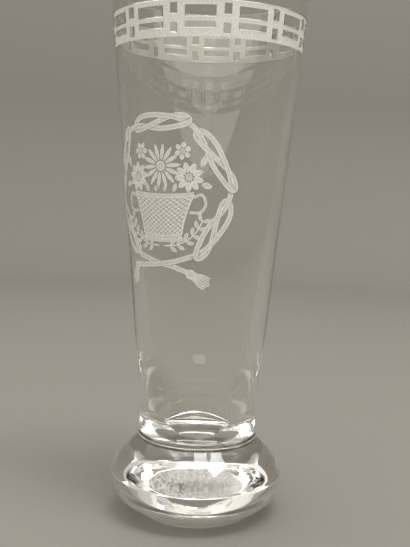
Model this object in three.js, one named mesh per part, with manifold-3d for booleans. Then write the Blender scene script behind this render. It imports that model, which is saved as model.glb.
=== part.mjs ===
// Engraved drinking glass: a tall tapering bowl on a heavy domed foot, joined by a thin collar.
// Millimetres, +Z up, origin at the centre of the ring that the glass stands on.
import * as THREE from 'three';
import { mergeVertices } from 'three/addons/utils/BufferGeometryUtils.js';
import Module from 'manifold-3d';

const wasm = await Module();
wasm.setup();

// Foot
const footHeight = 29.4;
const bellyRadius = 33.2;
const bellyHeight = 15.1;
const bellyDrop = 9.5;
const restRadius = 21.3;
const restEdgeRound = 2.6;
const undersideSlope = 40;
const undersideLead = 6.3;
const hollowRadius = 17.3;
const hollowDepth = 2.6;
const patchRadius = 14;
const patchHeight = 2.2;
const shoulderRound = 4.3;
const neckRadius = 22.2;
const neckSlope = 42;
const neckLead = 6.7;

// Collar between foot and bowl
const collarRadius = 22.9;
const collarThickness = 1.6;

// Solid peg under the bowl, which sinks through the collar into the foot
const pegRadius = 14;
const pegDepth = 4;

// Bowl, outside
const glassHeight = 195;
const seatRadius = 22.6;
const seatEdgeRound = 0.8;
const waistRadius = 22.3;
const waistRise = 9;
const coneRise = 33;
const coneRadius = 24.6;
const rimRadius = 36.6;

// Bowl, inside
const floorThickness = 2.4;
const floorRadius = 9;
const floorLead = 2;
const heelRadius = 13.3;
const heelRise = 9.5;
const heelLead = 4.5;
const coneWall = 5.8;
const rimWall = 1.5;

// Engraved band under the rim: matte bars and strips around clear windows
const bandMargin = 8;
const bandHeight = 12;
const bandRepeats = 12;
const bandTurn = 10;
const engravingDepth = 0.3;
const barWidth = 2.8;
const ladderWidth = 2.5;
const topStrip = 1.8;
const ladderStrip = 1;

// Windows of the band, as heights above its lower edge
const wideWindows = [{ from: 2.9, to: 5 }, { from: 6.5, to: bandHeight - topStrip }];
const ladderWindows = [{ from: 1.2, to: 4.7 }, { from: 7.4, to: bandHeight - ladderStrip }];

// Fineness
const segments = 72;
const patchSteps = 3;
const hollowSteps = 5;
const undersideSteps = 9;
const bendSteps = 7;
const roundSteps = 4;
const clearCut = 1;
const blockReach = 5;
const samePoint = 1e-6;

const collarBottom = footHeight;
const seatHeight = footHeight + collarThickness;
const pegBottom = seatHeight - pegDepth;
const degrees = Math.PI / 180;

// Turned solid: an outline in radius and height, revolved about +Z.
// Angle 0 faces -Y and grows towards +X.
function turned(outline) {
  const geometry = new THREE.LatheGeometry(outline, segments);
  geometry.rotateX(Math.PI / 2);
  return geometry;
}

// Rounded edge: a part of a circle between two angles, in degrees from straight out
function rounded(radius, height, round, from, to) {
  const arc = new THREE.EllipseCurve(radius, height, round, round, from * degrees, to * degrees, to < from);
  return arc.getPoints(Math.ceil(Math.abs(to - from) / (90 / roundSteps)));
}

// Bend between two points, with a handle at each that sets its direction there
function bend(start, startHandle, endHandle, end, steps = bendSteps) {
  const corners = [start, startHandle, endHandle, end];
  const points = corners.map(([radius, height]) => new THREE.Vector2(radius, height));
  return new THREE.CubicBezierCurve(...points).getPoints(steps);
}

// Joins stretches of an outline, and keeps a point that two of them share only once
function joined(...stretches) {
  const points = stretches.flat();
  return points.filter((point, index) => index === 0 || point.distanceTo(points[index - 1]) > samePoint);
}

function footOutline() {
  const patchLead = patchRadius / 3;
  const patch = bend(
    [0, hollowDepth],
    [patchLead, hollowDepth],
    [patchRadius - patchLead, (patchHeight + hollowDepth) / 2],
    [patchRadius, patchHeight],
    patchSteps,
  );
  const hollowWidth = hollowRadius - patchRadius;
  const hollow = bend(
    [patchRadius, patchHeight],
    [patchRadius + hollowWidth / 3, patchHeight],
    [hollowRadius - hollowWidth / 4, patchHeight / 3],
    [hollowRadius, 0],
    hollowSteps,
  );
  const restEdge = rounded(restRadius, restEdgeRound, restEdgeRound, -90, undersideSlope - 90);
  const edgeEnd = restEdge.at(-1);
  const leadOut = undersideLead * Math.cos(undersideSlope * degrees);
  const leadUp = undersideLead * Math.sin(undersideSlope * degrees);
  const underside = bend(
    [edgeEnd.x, edgeEnd.y],
    [edgeEnd.x + leadOut, edgeEnd.y + leadUp],
    [bellyRadius, bellyHeight - bellyDrop],
    [bellyRadius, bellyHeight],
    undersideSteps,
  );
  const neckOut = neckLead * Math.cos(neckSlope * degrees);
  const neckDown = neckLead * Math.sin(neckSlope * degrees);
  const shoulder = bend(
    [bellyRadius, bellyHeight],
    [bellyRadius, bellyHeight + shoulderRound],
    [neckRadius + neckOut, footHeight - neckDown],
    [neckRadius, footHeight],
  );
  const socket = [
    new THREE.Vector2(pegRadius, footHeight),
    new THREE.Vector2(pegRadius, pegBottom),
    new THREE.Vector2(0, pegBottom),
  ];
  return joined(patch, hollow, restEdge, underside, shoulder, socket);
}

function collarOutline() {
  const round = collarThickness / 2;
  return joined(
    [new THREE.Vector2(pegRadius, collarBottom)],
    rounded(collarRadius - round, collarBottom + round, round, -90, 90),
    [new THREE.Vector2(pegRadius, seatHeight)],
    [new THREE.Vector2(pegRadius, collarBottom)],
  );
}

// Outer radius of the bowl's straight cone at a height
function coneRadiusAt(height) {
  const share = (height - seatHeight - coneRise) / (glassHeight - seatHeight - coneRise);
  return coneRadius + share * (rimRadius - coneRadius);
}

function bowlOutline() {
  const coneStart = seatHeight + coneRise;
  const waist = seatHeight + waistRise;
  const floor = pegBottom + floorThickness;
  const heel = floor + heelRise;
  const outerSlope = (rimRadius - coneRadius) / (glassHeight - coneStart);
  const innerStart = coneRadius - coneWall;
  const innerSlope = (rimRadius - rimWall - innerStart) / (glassHeight - coneStart);
  const lead = (coneStart - waist) / 3;
  const innerLead = (coneStart - heel) / 3;
  const lip = rimWall / 2;
  const seatEdge = rounded(seatRadius - seatEdgeRound, seatHeight + seatEdgeRound, seatEdgeRound, -90, 0);
  const belowWaist = bend(
    [seatRadius, seatHeight + seatEdgeRound],
    [seatRadius, seatHeight + waistRise / 2],
    [waistRadius, waist - waistRise / 3],
    [waistRadius, waist],
  );
  const aboveWaist = bend(
    [waistRadius, waist],
    [waistRadius, waist + lead],
    [coneRadius - outerSlope * lead, coneStart - lead],
    [coneRadius, coneStart],
  );
  const rim = rounded(rimRadius - lip, glassHeight - lip, lip, 0, 180);
  const innerWall = bend(
    [innerStart, coneStart],
    [innerStart - innerSlope * innerLead, coneStart - innerLead],
    [heelRadius, heel + innerLead],
    [heelRadius, heel],
  );
  const floorCorner = bend(
    [heelRadius, heel],
    [heelRadius, heel - heelLead],
    [floorRadius + floorLead, floor],
    [floorRadius, floor],
  );
  const middle = [new THREE.Vector2(0, floor)];
  const peg = [
    new THREE.Vector2(0, pegBottom),
    new THREE.Vector2(pegRadius, pegBottom),
    new THREE.Vector2(pegRadius, seatHeight),
  ];
  return joined(peg, seatEdge, belowWaist, aboveWaist, rim, innerWall, floorCorner, middle);
}

// A closed mesh as a solid that can be cut and joined
function solidOf(geometry) {
  const shape = geometry.clone();
  shape.deleteAttribute('normal');
  shape.deleteAttribute('uv');
  const merged = mergeVertices(shape);
  return new wasm.Manifold(new wasm.Mesh({
    numProp: 3,
    vertProperties: new Float32Array(merged.attributes.position.array),
    triVerts: new Uint32Array(merged.index.array),
  }));
}

function geometryOf(solid) {
  const mesh = solid.getMesh();
  const geometry = new THREE.BufferGeometry();
  geometry.setAttribute('position', new THREE.BufferAttribute(mesh.vertProperties, 3));
  geometry.setIndex(new THREE.BufferAttribute(mesh.triVerts, 1));
  geometry.computeVertexNormals();
  return geometry;
}

// One clear window of the band: a block of uncut glass that reaches through the matte ground
function windowBlock(angle, width, pane) {
  const bandBottom = glassHeight - bandMargin - bandHeight;
  const block = new THREE.BoxGeometry(width, blockReach, pane.to - pane.from);
  const middle = bandBottom + (pane.from + pane.to) / 2;
  block.translate(0, -coneRadiusAt(middle), middle);
  block.rotateZ(angle);
  return solidOf(block);
}

// The glass that the engraver's wheel takes away: a shallow ring less its windows
function bandCut() {
  const bandBottom = glassHeight - bandMargin - bandHeight;
  const bandTop = glassHeight - bandMargin;
  let cut = solidOf(turned([
    new THREE.Vector2(coneRadiusAt(bandBottom) - engravingDepth, bandBottom),
    new THREE.Vector2(coneRadiusAt(bandBottom) + clearCut, bandBottom),
    new THREE.Vector2(coneRadiusAt(bandTop) + clearCut, bandTop),
    new THREE.Vector2(coneRadiusAt(bandTop) - engravingDepth, bandTop),
    new THREE.Vector2(coneRadiusAt(bandBottom) - engravingDepth, bandBottom),
  ]));
  const pitch = (2 * Math.PI * coneRadiusAt(bandTop)) / bandRepeats;
  const wideWidth = pitch - 2 * barWidth - ladderWidth;
  for (let repeat = 0; repeat < bandRepeats; repeat += 1) {
    const ladderAngle = bandTurn * degrees + (repeat / bandRepeats) * 2 * Math.PI;
    const wideAngle = ladderAngle + Math.PI / bandRepeats;
    for (const pane of ladderWindows) {
      cut = cut.subtract(windowBlock(ladderAngle, ladderWidth, pane));
    }
    for (const pane of wideWindows) {
      cut = cut.subtract(windowBlock(wideAngle, wideWidth, pane));
    }
  }
  return cut;
}

function glassMaterial() {
  return new THREE.MeshStandardMaterial({
    color: 0xdfe7e2,
    roughness: 0.05,
    metalness: 0,
    transparent: true,
    opacity: 0.35,
  });
}

function piece(name, geometry) {
  const mesh = new THREE.Mesh(geometry, glassMaterial());
  mesh.name = name;
  return mesh;
}

const glass = new THREE.Group();
glass.add(piece('foot', turned(footOutline())));
glass.add(piece('collar', geometryOf(solidOf(turned(collarOutline())))));
glass.add(piece('bowl', geometryOf(solidOf(turned(bowlOutline())).subtract(bandCut()))));

export default glass;
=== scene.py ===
# %% [markdown]
# # An engraved drinking glass
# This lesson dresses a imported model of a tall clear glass: a tapering bowl on a heavy domed foot, with a
# thin collar between them and matte wheel engraving on the bowl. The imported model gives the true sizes, so
# every piece here is worked out from its boxes and stays inside them.

import bmesh
import bpy
import numpy as np
from mathutils import Matrix, Vector


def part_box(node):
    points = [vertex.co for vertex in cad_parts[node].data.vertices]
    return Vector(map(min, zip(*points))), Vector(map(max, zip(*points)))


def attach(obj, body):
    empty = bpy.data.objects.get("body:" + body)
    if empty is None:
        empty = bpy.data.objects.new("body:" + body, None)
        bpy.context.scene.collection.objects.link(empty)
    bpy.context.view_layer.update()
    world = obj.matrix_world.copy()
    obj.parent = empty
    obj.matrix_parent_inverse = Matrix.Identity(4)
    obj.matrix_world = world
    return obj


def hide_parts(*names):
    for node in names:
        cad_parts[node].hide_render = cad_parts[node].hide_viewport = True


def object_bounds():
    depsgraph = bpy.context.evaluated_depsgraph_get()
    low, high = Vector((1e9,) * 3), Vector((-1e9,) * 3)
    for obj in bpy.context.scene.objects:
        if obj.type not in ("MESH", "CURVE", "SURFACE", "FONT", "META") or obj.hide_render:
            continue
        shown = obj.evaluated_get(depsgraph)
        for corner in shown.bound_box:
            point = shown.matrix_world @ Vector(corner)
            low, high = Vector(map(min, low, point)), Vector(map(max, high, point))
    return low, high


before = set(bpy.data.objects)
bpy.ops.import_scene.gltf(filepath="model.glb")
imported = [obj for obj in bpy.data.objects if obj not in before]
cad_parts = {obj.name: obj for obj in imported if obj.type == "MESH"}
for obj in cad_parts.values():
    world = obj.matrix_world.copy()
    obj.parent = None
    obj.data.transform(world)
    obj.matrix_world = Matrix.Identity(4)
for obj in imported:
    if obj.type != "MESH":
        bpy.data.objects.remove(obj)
cad_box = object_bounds()

MM = 0.001
cad_size = np.array(cad_box[1]) - np.array(cad_box[0])
print("nodes:", sorted(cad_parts), "box (mm):", np.round(cad_size / MM, 1))

# %% [markdown]
# ## Sizes
# The frame gives a box for each of the three solids. The heights and radii that the pieces share are read
# from these boxes, so foot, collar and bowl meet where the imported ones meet. They could be typed in again,
# but a later change of the model would then leave this scene behind.

# %% Sizes that come from the frame
foot_high = np.array(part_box("foot")[1])
collar_high = np.array(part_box("collar")[1])
bowl_low, bowl_high = (np.array(corner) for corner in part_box("bowl"))

foot_top = foot_high[2]
belly_radius = foot_high[0]
collar_radius = collar_high[0]
peg_bottom = bowl_low[2]
seat_height = collar_high[2]
glass_height = bowl_high[2]
PEG_RADIUS = 14.0 * MM
rim_radius = bowl_high[0]
print("foot top, seat, rim height (mm):", foot_top / MM, seat_height / MM, glass_height / MM)

# %% [markdown]
# ## The camera
# The glass was photographed from its side, from a little above its middle, with a phone close to it. A lens
# of 54 mm on a 36 mm sensor gives that close view. The camera is placed from three plain facts: how far
# away it is, how far it looks down, and how far the glass leans in the picture.

# %% Camera
VIEW_TILT = np.radians(6.0)        # the camera looks down on the glass by this much
VIEW_LEAN = np.radians(1.84)       # the glass leans to the right by this much in the picture
FOCAL_LENGTH = 54.1
SENSOR_SIZE = 36.0
CLIP_RANGE = (0.01, 20.0)          # nearest and furthest that it sees, in metres
BASE_FROM_CAMERA = np.array((-4.12, 91.8, 325.3)) * MM     # right, down and forward of the camera

axis_seen = np.array((
    np.sin(VIEW_LEAN) * np.cos(VIEW_TILT),
    -np.cos(VIEW_LEAN) * np.cos(VIEW_TILT),
    -np.sin(VIEW_TILT),
))
forward = np.array((0.0, 0.0, 1.0))
towards_camera = -forward + (forward @ axis_seen) * axis_seen
towards_camera /= np.linalg.norm(towards_camera)
side_seen = np.cross(-towards_camera, axis_seen)

# Rows are the glass's own X, Y and Z as the camera sees them, with the camera's Y and Z turned Blender's way
glass_axes = np.array((side_seen, -towards_camera, axis_seen)) * (1.0, -1.0, -1.0)
camera_place = -(glass_axes @ (BASE_FROM_CAMERA * (1.0, -1.0, -1.0)))

camera_data = bpy.data.cameras.new("camera")
camera_data.sensor_width = SENSOR_SIZE
camera_data.lens = FOCAL_LENGTH
camera_data.clip_start, camera_data.clip_end = CLIP_RANGE
camera = bpy.data.objects.new("camera", camera_data)
bpy.context.scene.collection.objects.link(camera)
camera.matrix_world = Matrix.Translation(camera_place) @ Matrix(glass_axes.tolist()).to_4x4()
bpy.context.scene.camera = camera
print("camera at (mm):", np.round(camera_place / MM, 1))

# %% [markdown]
# ## Helpers for meshes
# Everything on this glass is turned about its axis or laid on its cone. A Screw modifier could turn an
# outline too, but helpers that work on whole arrays give a say over every line of the mesh. One set makes
# the curves of an outline, one closes a grid of points into a skin, and one puts the finished arrays into a
# mesh.


# %% Faces of a grid, and a mesh from arrays
def grid_faces(rows, columns, wrap_columns=False, wrap_rows=False, start=0):
    """Quads over a grid of points, row by row. Corner (i, j) has the number start + i * columns + j."""
    last_row = rows if wrap_rows else rows - 1
    last_column = columns if wrap_columns else columns - 1
    i, j = np.meshgrid(np.arange(last_row), np.arange(last_column), indexing="ij")
    below = i * columns
    above = ((i + 1) % rows) * columns
    right = (j + 1) % columns
    quads = np.stack((below + j, below + right, above + right, above + j), axis=-1)
    return quads.reshape(-1, 4) + start


SHARP_ANGLE = np.radians(35.0)


def make_piece(name, points, faces, materials):
    """A smooth mesh object from points (n, 3) in metres and faces, a list of lists of corner numbers."""
    mesh = bpy.data.meshes.new(name)
    mesh.from_pydata(points.tolist(), [], faces)
    for material in materials:
        mesh.materials.append(material)
    mesh.polygons.foreach_set("use_smooth", np.ones(len(mesh.polygons), dtype=bool))
    shaped = bmesh.new()
    shaped.from_mesh(mesh)
    bmesh.ops.recalc_face_normals(shaped, faces=shaped.faces)
    shaped.to_mesh(mesh)
    shaped.free()
    mesh.set_sharp_from_angle(angle=SHARP_ANGLE)
    piece = bpy.data.objects.new(name, mesh)
    bpy.context.scene.collection.objects.link(piece)
    return piece


# %% Curves for outlines
SAME_POINT = 1e-7      # two points this close in metres are one


def bend(start, start_handle, end_handle, end, steps):
    """Points on a cubic curve: the four corners weighed by (1-t)^3, 3t(1-t)^2, 3t^2(1-t) and t^3."""
    t = np.linspace(0.0, 1.0, steps + 1)[:, None]
    corners = [np.array(corner, dtype=float) for corner in (start, start_handle, end_handle, end)]
    weights = ((1 - t) ** 3, 3 * t * (1 - t) ** 2, 3 * t ** 2 * (1 - t), t ** 3)
    return sum(weight * corner for weight, corner in zip(weights, corners))


def rounded(radius, height, round_off, from_degrees, to_degrees, steps):
    """Points on a part of a circle: its centre plus its radius times (cosine, sine) of the angle."""
    angle = np.radians(np.linspace(from_degrees, to_degrees, steps + 1))
    return np.stack((radius + round_off * np.cos(angle), height + round_off * np.sin(angle)), axis=-1)


def joined(*stretches):
    """One outline from several stretches, with a point that two of them share kept once."""
    outline = np.concatenate(stretches)
    step = np.linalg.norm(np.diff(outline, axis=0), axis=1)
    return outline[np.concatenate(((True,), step > SAME_POINT))]


def straight(start, end, steps):
    """Points on a straight line at even steps."""
    t = np.linspace(0.0, 1.0, steps + 1)[:, None]
    return (1 - t) * np.array(start, dtype=float) + t * np.array(end, dtype=float)


# %% A turned skin
def round_points(radius, angle, height):
    """Points about Z: x = radius * sin(angle), y = -radius * cos(angle), z = height. 0 faces the camera."""
    points = np.broadcast_arrays(radius * np.sin(angle), -radius * np.cos(angle), height)
    return np.stack(points, axis=-1).reshape(-1, 3)


def turned(outline, angles):
    """A closed skin: the outline (radius, height) turned about Z. Its ends lie on the axis."""
    rings = round_points(outline[1:-1, :1], angles, outline[1:-1, 1:])
    ends = np.array(((0.0, 0.0, outline[0, 1]), (0.0, 0.0, outline[-1, 1])))
    rows, columns = len(outline) - 2, len(angles)
    around = np.arange(columns)
    following = np.roll(around, -1)
    last_ring = (rows - 1) * columns
    first_pole = np.full(columns, len(rings))
    first_fan = np.stack((following, around, first_pole), axis=-1)
    last_fan = np.stack((last_ring + around, last_ring + following, first_pole + 1), axis=-1)
    quads = grid_faces(rows, columns, wrap_columns=True)
    return np.concatenate((rings, ends)), quads.tolist() + first_fan.tolist() + last_fan.tolist()


# %% [markdown]
# ## Glass
# Clear glass is a surface that bends light, so its material is a Principled shader with full transmission
# and an index of refraction of 1.52. Old soda glass is a little warm and grey, and its surface is never
# perfect: marks from handling dull the gloss here and there, and the tooling left it gently uneven. In the
# creases of the neck a painted shade darkens the glass, in place of the dark lines that the surroundings
# draw there. Image textures could show this, but noise in the piece's own coordinates has no seam and looks
# right from every side. Foot, collar and bowl share these effects, so each effect is a node group.


# %% Shader helpers
def feed(node, inputs):
    """Fills a node's inputs: a socket is linked, and a number or a colour becomes the input's value."""
    for label, value in inputs.items():
        if isinstance(value, bpy.types.NodeSocket):
            node.id_data.links.new(value, node.inputs[label])
        else:
            node.inputs[label].default_value = value
    return node


def add_math(operation, first, second):
    """A Math node. First is a socket, and second a socket or a plain number. Returns its output socket."""
    node = first.id_data.nodes.new("ShaderNodeMath")
    node.operation = operation
    return feed(node, {0: first, 1: second}).outputs[0]


def add_noise(coordinates, scale, detail):
    """A Noise Texture on the given coordinates. Returns its value socket."""
    node = coordinates.id_data.nodes.new("ShaderNodeTexNoise")
    return feed(node, {"Vector": coordinates, "Scale": scale, "Detail": detail}).outputs["Fac"]


def add_remap(value, from_range, to_range):
    """A Map Range node: carries one range (low, high) to another, and clamps. Returns its output socket."""
    node = value.id_data.nodes.new("ShaderNodeMapRange")
    labels = ("Value", "From Min", "From Max", "To Min", "To Max")
    return feed(node, dict(zip(labels, (value, *from_range, *to_range)))).outputs["Result"]


def add_blend(factor, first, second):
    """A Mix node between two colours. Returns its output socket."""
    node = factor.id_data.nodes.new("ShaderNodeMix")
    node.data_type = "RGBA"
    return feed(node, {"Factor": factor, "A": first, "B": second}).outputs["Result"]


def add_bump(height, distance):
    """A Bump node: distance is the height of its relief in metres. Returns the normal it makes."""
    node = height.id_data.nodes.new("ShaderNodeBump")
    return feed(node, {"Height": height, "Distance": distance}).outputs["Normal"]


def object_coordinates(tree):
    """The piece's own coordinates, in metres."""
    return tree.nodes.new("ShaderNodeTexCoord").outputs["Object"]


def split_axes(coordinates):
    """The X, Y and Z of some coordinates, as three sockets."""
    return feed(coordinates.id_data.nodes.new("ShaderNodeSeparateXYZ"), {0: coordinates}).outputs


def new_material(name):
    """A material with its node tree and its Principled shader."""
    material = bpy.data.materials.new(name)
    material.use_nodes = True
    return material, material.node_tree, material.node_tree.nodes["Principled BSDF"]


# %% Node groups
def new_group(name, inputs, outputs):
    """A node group that works on numbers: a dict of input names and defaults, and the output names.

    Returns the group, the sockets that its inputs come out of, and the node that takes its outputs.
    """
    group = bpy.data.node_groups.new(name, "ShaderNodeTree")
    for label, default in inputs.items():
        socket = group.interface.new_socket(label, in_out="INPUT", socket_type="NodeSocketFloat")
        socket.default_value = default
    for label in outputs:
        group.interface.new_socket(label, in_out="OUTPUT", socket_type="NodeSocketFloat")
    return group, group.nodes.new("NodeGroupInput").outputs, group.nodes.new("NodeGroupOutput")


def place_group(tree, group, inputs):
    """A node that holds the group, with its own values for the named inputs. Returns its output sockets."""
    node = tree.nodes.new("ShaderNodeGroup")
    node.node_tree = group
    return feed(node, inputs).outputs


# %% Handling marks: faint smears and fine specks that dull the gloss here and there
SMEAR_SCALE = 60.0
SPECK_SCALE = 900.0
WAVE_SCALE = 35.0
RIPPLE_SCALE = 320.0
RIPPLE_DEPTH = 0.25
RIPPLE_DRAW = (1.0, 1.0, 0.05)     # ripples run up the wall, so their pattern is drawn out along Z

marks_group, marks_in, marks_out = new_group(
    "handling_marks", {"Least": 0.0, "Most": 0.05}, ("Roughness", "Height")
)
marks_place = object_coordinates(marks_group)
smears = add_remap(add_noise(marks_place, SMEAR_SCALE, 4.0), (0.5, 0.75), (0.0, 1.0))
specks = add_remap(add_noise(marks_place, SPECK_SCALE, 2.0), (0.68, 0.75), (0.0, 0.5))
spread = add_math("SUBTRACT", marks_in["Most"], marks_in["Least"])
dulled = add_math("MULTIPLY", add_math("MAXIMUM", smears, specks), spread)

drawn_out = marks_group.nodes.new("ShaderNodeMapping")
feed(drawn_out, {"Vector": marks_place, "Scale": RIPPLE_DRAW})
waves = add_noise(marks_place, WAVE_SCALE, 1.0)
ripples = add_math("MULTIPLY", add_noise(drawn_out.outputs[0], RIPPLE_SCALE, 2.0), RIPPLE_DEPTH)
feed(marks_out, {
    "Roughness": add_math("ADD", dulled, marks_in["Least"]),
    "Height": add_math("ADD", waves, ripples),
})
print("group:", marks_group.name)

# %% Crease shade: a dark line of painted shade where two pieces meet at the neck
CREASE_REACH = 0.7 * MM
CREASE_SHADE_FROM_RADIUS = 20.0 * MM
CREASE_SHADE_SCALE = 150.0

crease_shade_group, crease_shade_in, crease_shade_out = new_group(
    "painted_crease_shade", {"Height": 0.0, "Reach": CREASE_REACH}, ("Mask",)
)
crease_shade_place = object_coordinates(crease_shade_group)
crease_shade_x, crease_shade_y, crease_shade_z = split_axes(crease_shade_place)
distance = add_math("ABSOLUTE", add_math("SUBTRACT", crease_shade_z, crease_shade_in["Height"]), 0.0)
reaches_away = add_math("DIVIDE", distance, crease_shade_in["Reach"])
uneven = add_remap(add_noise(crease_shade_place, CREASE_SHADE_SCALE, 2.0), (0.3, 0.7), (0.75, 1.3))
in_crease = add_remap(add_math("MULTIPLY", reaches_away, uneven), (0.3, 1.0), (1.0, 0.0))
squares = [add_math("POWER", axis, 2.0) for axis in (crease_shade_x, crease_shade_y)]
outside_joint = add_math("GREATER_THAN", add_math("ADD", *squares), CREASE_SHADE_FROM_RADIUS ** 2)
feed(crease_shade_out, {"Mask": add_math("MULTIPLY", in_crease, outside_joint)})
print("group:", crease_shade_group.name)

# %% Clear glass
GLASS_INDEX = 1.52
GLASS_TINT = (0.982, 0.976, 0.952, 1.0)
# The dark colour of the painted shade in the creases of the neck
PAINTED_SHADE_TINT = (0.12, 0.10, 0.075, 1.0)


def clear_glass(name, least_rough, most_rough, unevenness):
    """Clear glass with handling marks and painted shade at the neck. Unevenness is the height of its gentle
    waves, in metres.
    """
    material, tree, shader = new_material(name)
    # Painted shade: masks that darken the glass colour in the creases of the neck
    creases = [
        place_group(tree, crease_shade_group, {"Height": height})["Mask"] for height in (foot_top, seat_height)
    ]
    marks = place_group(tree, marks_group, {"Least": least_rough, "Most": most_rough})
    feed(shader, {
        "Base Color": add_blend(add_math("MAXIMUM", *creases), GLASS_TINT, PAINTED_SHADE_TINT),
        "Roughness": marks["Roughness"],
        "Normal": add_bump(marks["Height"], unevenness),
        "IOR": GLASS_INDEX,
        "Transmission Weight": 1.0,
    })
    return material


bowl_glass = clear_glass("bowl_glass", least_rough=0.0, most_rough=0.03, unevenness=0.06 * MM)
foot_glass = clear_glass("foot_glass", least_rough=0.0, most_rough=0.03, unevenness=0.08 * MM)
print("glass:", bowl_glass.name, foot_glass.name)

# %% [markdown]
# ### Joints that don't show
# Foot, collar and bowl were joined while they were hot, so no surface is left inside for light to see.
# Taking the touching faces away would open the meshes. So each piece stays closed, and the faces where two
# pieces touch get a material with no opacity.

# %% Fused joints
fused_joint, _, fused_shader = new_material("fused_joint")
feed(fused_shader, {"Alpha": 0.0})
print("joint faces:", fused_joint.name)

# %% [markdown]
# ### Ground glass
# The rough scar in the middle of the underside was ground away on a wheel. That leaves a grey patch with
# dark specks. Its colour also turns paler towards one side, a painted highlight that stands in for glare.
# Such a surface scatters most of the light and lets some of it pass, so the material does both, and noise
# sets where it is pale, dark, rough or smooth.

# %% Ground glass
SPECK_TINT = (0.02, 0.02, 0.018, 1.0)
GROUND_TINT = (0.95, 0.94, 0.90, 1.0)
GROUND_SCALE = 1300.0
HIGHLIGHT_SCALE = 200.0
HIGHLIGHT_SWING = 30.0 * MM                  # noise moves the edge of the painted highlight by up to this
HIGHLIGHT_RANGE = (8.0 * MM, 26.0 * MM)      # the painted highlight grows over this stretch of X plus the swing

ground_glass, ground_tree, ground_shader = new_material("ground_glass")
ground_place = object_coordinates(ground_tree)
grains = add_noise(ground_place, GROUND_SCALE, 3.0)
swing = add_math("MULTIPLY", add_noise(ground_place, HIGHLIGHT_SCALE, 2.0), HIGHLIGHT_SWING)
# Painted highlight: the patch's colour turns paler towards +X, in place of glare on it
painted_highlight = add_remap(add_math("ADD", split_axes(ground_place)["X"], swing), HIGHLIGHT_RANGE, (0.0, 0.85))
grains_and_highlight = add_math("MAXIMUM", add_remap(grains, (0.47, 0.55), (0.0, 1.0)), painted_highlight)
feed(ground_shader, {
    "Base Color": add_blend(grains_and_highlight, SPECK_TINT, GROUND_TINT),
    "Roughness": add_remap(grains, (0.4, 0.65), (0.05, 0.3)),
    "Normal": add_bump(grains, 0.1 * MM),
    "IOR": GLASS_INDEX,
    "Transmission Weight": 0.3,
})
print("ground patch:", len(ground_tree.nodes), "nodes")

# %% [markdown]
# ### Matte cut
# An engraver's wheel leaves thousands of tiny cuts, which turn clear glass white. Rough clear glass would
# come nearest to that, but over a clear bowl it shows as grey mist and the drawing fades. A white, rough
# skin that is partly see-through keeps the drawing crisp. The attribute cut says how deep the wheel went at
# each point.

# %% Matte cut
FROST_TINT = (0.95, 0.935, 0.88, 1.0)
CUT_SCALE = 1500.0


def matte_cut(name, faint, strong, passing):
    """Whitened glass. Its opacity runs from faint to strong as the attribute cut runs from 0 to 1.

    Passing is the share of the light that goes on through it, scattered.
    """
    material, tree, shader = new_material(name)
    cut = tree.nodes.new("ShaderNodeAttribute")
    cut.attribute_name = "cut"
    grain = add_noise(object_coordinates(tree), CUT_SCALE, 2.0)
    worked = add_math("MULTIPLY", cut.outputs["Fac"], add_remap(grain, (0.3, 0.7), (0.8, 1.1)))
    feed(shader, {
        "Base Color": FROST_TINT,
        "Roughness": 0.8,
        "Specular IOR Level": 0.25,
        "Transmission Weight": passing,
        "Alpha": add_remap(worked, (0.0, 1.0), (faint, strong)),
        "Normal": add_bump(grain, 0.05 * MM),
    })
    return material


matte_glass = matte_cut("matte_glass", faint=0.15, strong=0.92, passing=0.15)
print("materials:", [material.name for material in bpy.data.materials])

# %% [markdown]
# ## Foot
# The foot was dropped on as a hot gather and shaped with a wooden block: a rounded belly, a shoulder that
# slopes in to the neck, and a flat ring to stand on. Inside the ring lies a smooth hollow, with the ground
# patch in its middle. A solid of this kind could be sculpted, but one outline turned about the axis gives
# it all, evenly.

# %% Foot sizes
REST_RADIUS = 21.3 * MM
REST_EDGE_ROUND = 2.6 * MM
HOLLOW_RADIUS = 17.3 * MM
HOLLOW_DEPTH = 2.6 * MM
PATCH_RADIUS = 14.0 * MM
PATCH_HEIGHT = 2.2 * MM
BELLY_HEIGHT = 15.1 * MM
BELLY_DROP = 9.5 * MM
UNDERSIDE_SLOPE = 40.0
UNDERSIDE_LEAD = 6.3 * MM
SHOULDER_ROUND = 4.3 * MM
NECK_RADIUS = 22.2 * MM
NECK_SLOPE = np.radians(42.0)
NECK_LEAD = 6.7 * MM
FOOT_SIDES = 288

# %% Foot outline, from the middle of the underside round to the socket in the neck
patch_lead = PATCH_RADIUS / 3
foot_hollow = joined(
    bend(
        (0.0, HOLLOW_DEPTH),
        (patch_lead, HOLLOW_DEPTH),
        (PATCH_RADIUS - patch_lead, PATCH_HEIGHT + (HOLLOW_DEPTH - PATCH_HEIGHT) / 2),
        (PATCH_RADIUS, PATCH_HEIGHT),
        steps=16,
    ),
    bend(
        (PATCH_RADIUS, PATCH_HEIGHT),
        (PATCH_RADIUS + (HOLLOW_RADIUS - PATCH_RADIUS) / 3, PATCH_HEIGHT),
        (HOLLOW_RADIUS - (HOLLOW_RADIUS - PATCH_RADIUS) / 4, PATCH_HEIGHT / 3),
        (HOLLOW_RADIUS, 0.0),
        steps=12,
    ),
)
rest_ring = straight((HOLLOW_RADIUS, 0.0), (REST_RADIUS, 0.0), steps=4)
rest_edge = rounded(REST_RADIUS, REST_EDGE_ROUND, REST_EDGE_ROUND, -90.0, UNDERSIDE_SLOPE - 90.0, steps=8)
lead_turn = np.radians(UNDERSIDE_SLOPE)
underside = bend(
    rest_edge[-1],
    rest_edge[-1] + UNDERSIDE_LEAD * np.array((np.cos(lead_turn), np.sin(lead_turn))),
    (belly_radius, BELLY_HEIGHT - BELLY_DROP),
    (belly_radius, BELLY_HEIGHT),
    steps=30,
)
neck_out = NECK_LEAD * np.cos(NECK_SLOPE)
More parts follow.
